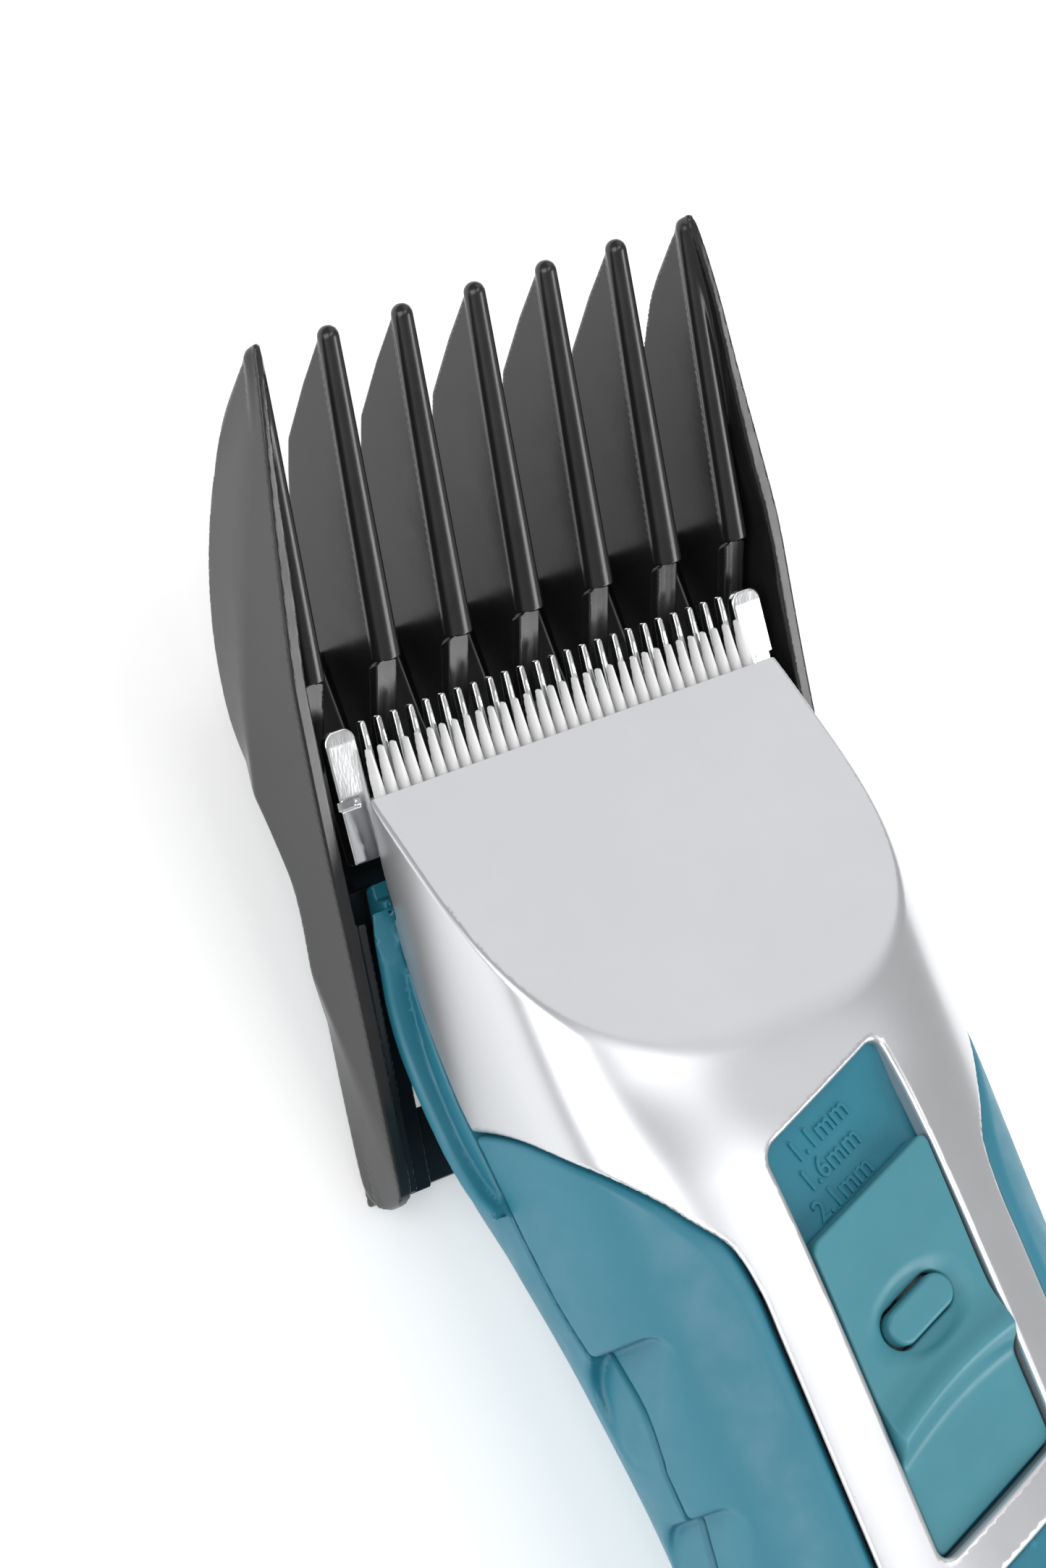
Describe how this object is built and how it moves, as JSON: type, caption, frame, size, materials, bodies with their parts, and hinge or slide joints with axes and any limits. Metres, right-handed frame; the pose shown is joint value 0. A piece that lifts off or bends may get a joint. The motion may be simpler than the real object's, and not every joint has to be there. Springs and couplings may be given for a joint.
{
  "type": "hair clipper",
  "caption": "Cordless hair clipper lying on its back, with a slide-on guide comb, cutting blades, a length slider, a power slider and soft side grips.",
  "frame": {"origin": "middle of the object's box seen from above, at the level of the surface it lies on", "axes": "+Y along the handle towards the cutting end, +Z out of the front face, +X to the right seen from the front with the comb up"},
  "size_m": [0.05, 0.1894, 0.0346],
  "materials": {
    "silver_paint": "satin silver metallic paint on ABS",
    "teal_grip": "soft-touch teal moulding",
    "teal_control": "satin teal moulding",
    "comb_black": "semi-gloss dark plastic",
    "steel": "ground and polished stainless steel",
    "ceramic": "white sintered ceramic, stood in for by gloss plastic",
    "zinc": "zinc-plated steel",
    "inner_plastic": "acetal moulding",
    "rubber": "black rubber",
    "board": "green solder resist",
    "brass": "brass",
    "cell_sleeve": "shrink sleeve on a steel cell",
    "lens": "translucent plastic"
  },
  "bodies": {
    "housing": {"fixed_blade": "steel", "blade_screw_left": "steel", "blade_screw_right": "steel", "upper_housing": "silver_paint", "lower_housing": "teal_grip", "left_grip": "teal_grip", "right_grip": "teal_grip", "tail_cap": "teal_grip", "rest_pad": "rubber", "scale_plate": "teal_control", "lever_pin": "steel", "front_panel": "teal_control", "indicator_lens": "lens", "blade_seat": "teal_grip", "motor": "zinc", "motor_bracket": "inner_plastic", "motor_screw_left": "steel", "motor_screw_right": "steel", "battery": "cell_sleeve", "battery_contact_front": "brass", "battery_contact_rear": "brass", "circuit_board": "board", "switch_block": "rubber", "charging_socket": "rubber", "housing_screw_1": "steel", "housing_screw_2": "steel", "housing_screw_3": "steel", "housing_screw_4": "steel"},
    "comb": {"guide_comb": "comb_black"},
    "slider": {"length_slider": "teal_control", "length_link": "inner_plastic", "lock_spring": "steel"},
    "lock": {"lock_button": "teal_control"},
    "lever": {"adjusting_lever": "inner_plastic"},
    "carriage": {"blade_carriage": "inner_plastic", "blade_spring": "steel"},
    "cutter": {"moving_blade": "ceramic", "drive_yoke": "inner_plastic"},
    "drive": {"motor_shaft": "steel", "eccentric_cam": "brass"},
    "switch": {"power_slider": "teal_control"}
  },
  "joints": [
    {"name": "comb_slide", "type": "slide", "parent": "housing", "child": "comb", "axis": [0, 0.9205, 0.3907], "range_m": [0, 0.075]},
    {"name": "length_slide", "type": "slide", "parent": "housing", "child": "slider", "axis": [0, 1, 0], "range_m": [0, 0.006]},
    {"name": "lock_press", "type": "slide", "parent": "slider", "child": "lock", "axis": [0, 0, -1], "range_m": [0, 0.001], "stiffness_N_per_m": 300, "springref_m": -0.0005, "deforming": ["lock_spring"]},
    {"name": "lever_swing", "type": "hinge", "parent": "housing", "child": "lever", "pos_m": [0, 0.0333, 0.0109], "axis": [-1, 0, 0], "range_deg": [0, 28.7]},
    {"name": "blade_advance", "type": "slide", "parent": "housing", "child": "carriage", "axis": [0, 0.9603, 0.279], "range_m": [0, 0.00121]},
    {"name": "blade_stroke", "type": "slide", "parent": "carriage", "child": "cutter", "axis": [1, 0, 0], "range_m": [-0.0008, 0.0008]},
    {"name": "motor_spin", "type": "hinge", "parent": "housing", "child": "drive", "pos_m": [0, 0.0153, 0.0179], "axis": [0, 1, 0], "continuous": true},
    {"name": "power_slide", "type": "slide", "parent": "housing", "child": "switch", "axis": [0, 1, 0], "range_m": [0, 0.003]}
  ],
  "couplings": [
    {"joint": "lever_swing", "follows": "length_slide", "rad_per_m": 83.333},
    {"joint": "blade_advance", "follows": "length_slide", "ratio": 0.2}
  ]
}
